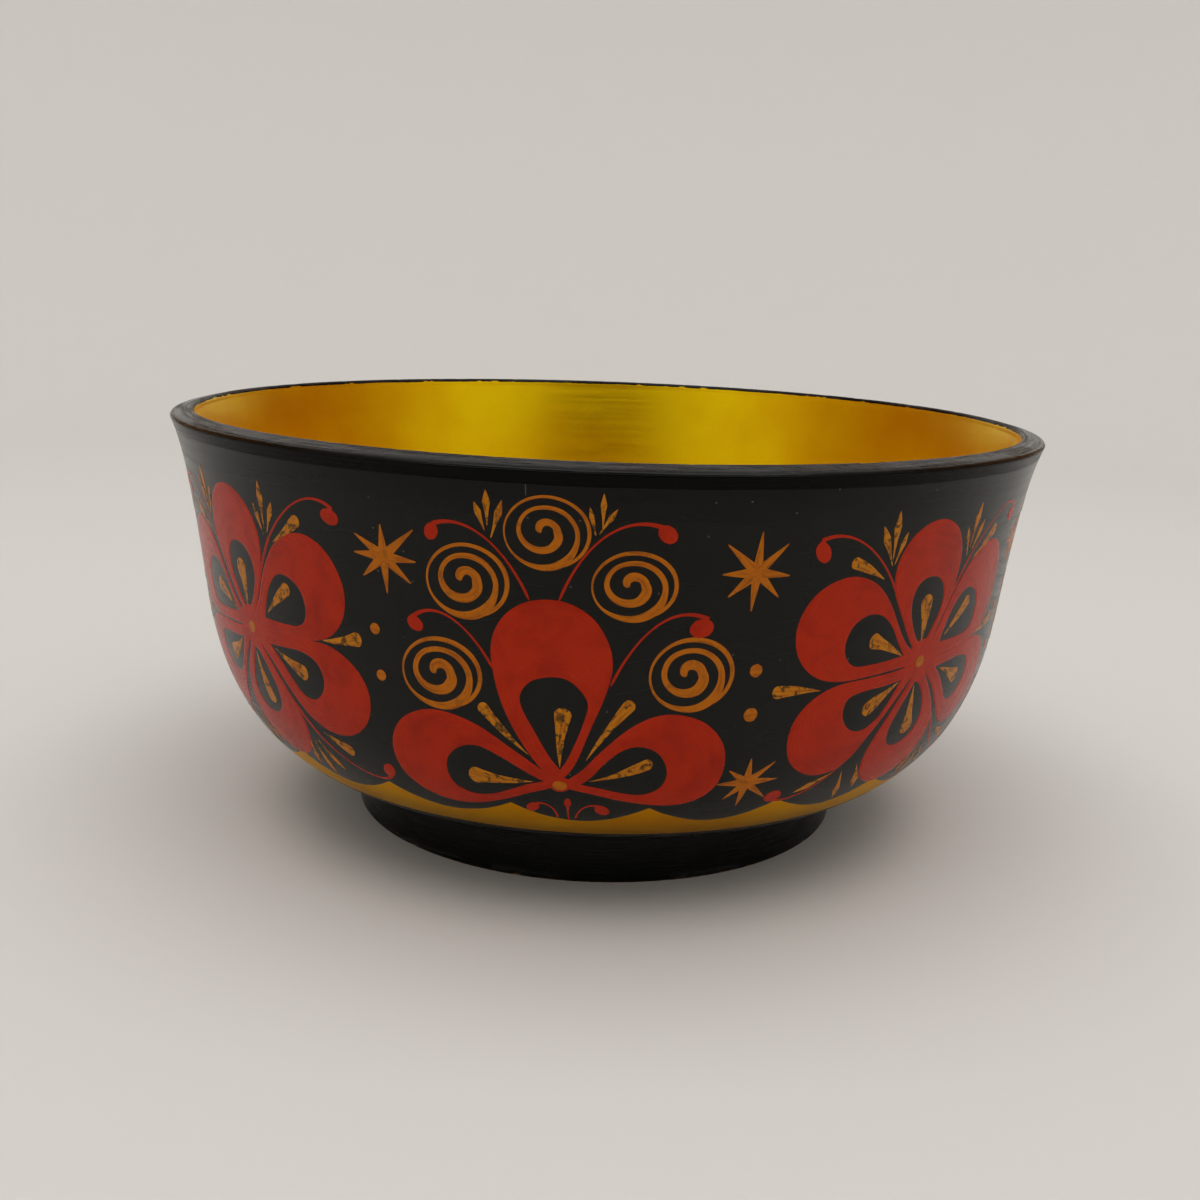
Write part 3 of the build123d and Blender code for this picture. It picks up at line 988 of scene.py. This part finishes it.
def painting(red, ochre, mottled):
    """Paint both kinds of flower four times round the bowl, by a hand that never repeats exactly."""
    layers = {                  # each one's height above the first layer comes last
        "petals": ("red_petals", red, "red_paint", 0.0),
        "stems": ("red_tendrils_and_berries", red, "red_paint", 0.012),
        "scrolls": ("ochre_scrolls", ochre, "ochre_paint", 0.0),
        "stars": ("ochre_stars_and_dots", ochre, "ochre_paint", 0.0),
        "drops": ("ochre_drops", mottled, "ochre_paint", 0.0),
        "leaves": ("ochre_leaf_sprigs", mottled, "ochre_paint", 0.02),
        "hearts": ("flower_hearts", ochre, "ochre_paint", 0.055),
    }
    brushes = {}
    for seed, (brush, (*settings, above)) in enumerate(layers.items()):
        brushes[brush] = Painter(Piece(*settings), seed, PAINT_BED + above)
    flowers = ((half_flower, HALF_HEART, HALF_STRAY), (full_flower, FULL_HEART, FULL_STRAY))
    for repeat in range(REPEATS):
        for flower, heart, stray in flowers:
            across, up, turn = stray[repeat]
            flower(brushes, Hand(heart[0] + repeat * REPEAT + across, heart[1] + up, turn))
    for brush in brushes.values():
        brush.piece.build(STROKE_SHARP)


# ---- stage, light and camera

# Places here are in metres.
FLOOR_COLOR = (0.64, 0.62, 0.595, 1)
FRONT_COLOR = (0.14, 0.085, 0.05, 1)
SIDE_COLOR = (0.40, 0.18, 0.06, 1)
ROOM_COLOR = (1.0, 0.985, 0.96, 1)
ROOM_STRENGTH = 0.325
FRONT_CARD = (0.16, -0.19, -0.42, 0.70)         # half width, where it starts and stands up, height
SIDE_CARDS = (0.42, -0.10, 0.60, 0.09, 0.55)    # distance, near and far end, lowest and highest
PANEL_SIZE = 1.6
PANEL_POWER = 16.6
PANEL_ELEVATION = 78        # degrees above the floor, on the camera's side
PANEL_DISTANCE = 1.35
CAMERA_PLACE = (-0.0046, -0.2456, 0.0936)
CAMERA_LENS = 40.86         # millimetres, on a sensor 36 mm wide
CAMERA_YAW = 1.02           # degrees, as are the two below
CAMERA_PITCH = 13.19
CAMERA_ROLL = -2.06


def matte(name, color):
    return Shader(name, Base_Color=color, Roughness=0.9, Specular_IOR_Level=0.1).material


def staged(name, verts, faces, material):
    """A piece of the stage."""
    mesh = bpy.data.meshes.new(name)
    mesh.from_pydata(verts, [], faces)
    mesh.polygons.foreach_set("use_smooth", [True] * len(mesh.polygons))
    mesh.materials.append(material)
    piece = placed(name, mesh)
    return piece


def stage():
    """A pale floor that sweeps up into a backdrop all round, and dark cards that only show in gloss.

    The front card stands for the dark room behind the camera, and the side cards for its corners.
    """
    flat, sweep, top = 0.55, 0.45, 1.5
    bend = [(flat + sweep * math.sin(a), sweep * (1 - math.cos(a))) for a in np.linspace(0, math.pi / 2, 24)]
    profile = [(0.0, 0.0), (0.2, 0.0), (flat * 0.8, 0.0)] + bend + [(flat + sweep, top)]
    steps = 128
    verts = [(r * math.sin(2 * math.pi * k / steps), -r * math.cos(2 * math.pi * k / steps), z)
             for k in range(steps) for r, z in profile]
    rows = len(profile)
    columns = [(k * rows, (k + 1) % steps * rows) for k in range(steps)]
    faces = [(a + j, b + j, b + j + 1, a + j + 1) for a, b in columns for j in range(rows - 1)]
    staged("stage_floor", verts, faces, matte("stage", FLOOR_COLOR))
    half, near, far, high = FRONT_CARD
    verts = [(side * half, y, z) for y, z in ((near, 0.001), (far, 0.001), (far, high)) for side in (-1, 1)]
    dark = matte("stage_dark", FRONT_COLOR)
    cards = [staged("stage_card_front", verts, [(0, 1, 3, 2), (2, 3, 5, 4)], dark)]
    away, near, far, low, high = SIDE_CARDS
    brown = matte("stage_brown", SIDE_COLOR)
    for name, side in (("stage_card_left", -1), ("stage_card_right", 1)):
        verts = [(side * away, y, z) for y, z in ((near, low), (far, low), (far, high), (near, high))]
        cards.append(staged(name, verts, [(0, 1, 2, 3)], brown))
    for card in cards:
        card.visible_camera = False
        card.visible_diffuse = False
        card.visible_shadow = False


def lights():
    """Broad daylight from the room, and a large soft panel above, a little towards the camera."""
    world = bpy.data.worlds.new("room")
    world.use_nodes = True
    background = world.node_tree.nodes["Background"]
    background.inputs["Color"].default_value = ROOM_COLOR
    background.inputs["Strength"].default_value = ROOM_STRENGTH
    bpy.context.scene.world = world
    light = bpy.data.lights.new("overhead", "AREA")
    light.size = PANEL_SIZE
    light.energy = PANEL_POWER
    panel = placed("overhead", light)
    elevation = math.radians(PANEL_ELEVATION)
    place = Vector((0, -math.cos(elevation), math.sin(elevation))) * PANEL_DISTANCE
    target = Vector((0, 0, HEIGHT * MM / 2))
    panel.location = place
    panel.rotation_euler = (target - place).to_track_quat("-Z", "Y").to_euler()


def camera():
    """The view: close in front and a little above, tilted slightly to one side."""
    yaw, pitch, roll = [math.radians(turn) for turn in (CAMERA_YAW, CAMERA_PITCH, CAMERA_ROLL)]
    ahead = Vector((math.sin(yaw) * math.cos(pitch), math.cos(yaw) * math.cos(pitch), -math.sin(pitch)))
    right = Vector((math.cos(yaw), -math.sin(yaw), 0))
    down = ahead.cross(right)
    across = math.cos(roll) * right + math.sin(roll) * down
    below = -math.sin(roll) * right + math.cos(roll) * down
    data = bpy.data.cameras.new("camera")
    data.sensor_width = 36.0
    data.lens = CAMERA_LENS
    data.clip_start = 0.01
    view = placed("camera", data)
    axes = Matrix((across, -below, -ahead)).transposed()
    view.matrix_world = Matrix.Translation(Vector(CAMERA_PLACE)) @ axes.to_4x4()
    bpy.context.scene.camera = view


# ---- build

inside_gold(gold_lacquer("gold_lacquer_inside", GOLD, GOLD_DEEP, pooled_low=16.0, pooled_high=42.0))
outside_gold(gold_lacquer("gold_lacquer_outside", GOLD_DULL, GOLD_DULL_DEEP, pooled_low=0.0,
                          pooled_high=10.0, Specular_Tint=GOLD_GRAZING))
black_wall(black_ground())
rim_band(black_gloss("black_gloss_rim", worn_low=0.8, worn_high=5.0, wear=0.50,
                     worst=RIM_WORST, Specular_IOR_Level=0.13))
under_lip(black_gloss("black_gloss_under_lip", worn_low=0.0, worn_high=0.5, wear=0.75,
                      worst=RIM_WORST, Specular_IOR_Level=0.05))
foot_band(black_gloss("black_gloss_foot", worn_low=-0.5, worn_high=1.1, wear=0.55,
                      worst=FOOT_WORST, Specular_IOR_Level=0.15))
recess_coat(black_gloss("black_gloss_recess", worn_low=30.0, worn_high=36.0, wear=0.66, worst=0.0))
mottled = ochre_paint("ochre_mottled", OCHRE_YELLOW, mottling=0.85)
painting(red_paint(), ochre_paint("ochre_paint", OCHRE, mottling=0.3), mottled)

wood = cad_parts["turned_wood_bowl"]
wood.data.materials.clear()
wood.data.materials.append(linden_wood())

stage()
lights()
camera()
bpy.context.scene.view_settings.view_transform = "Standard"
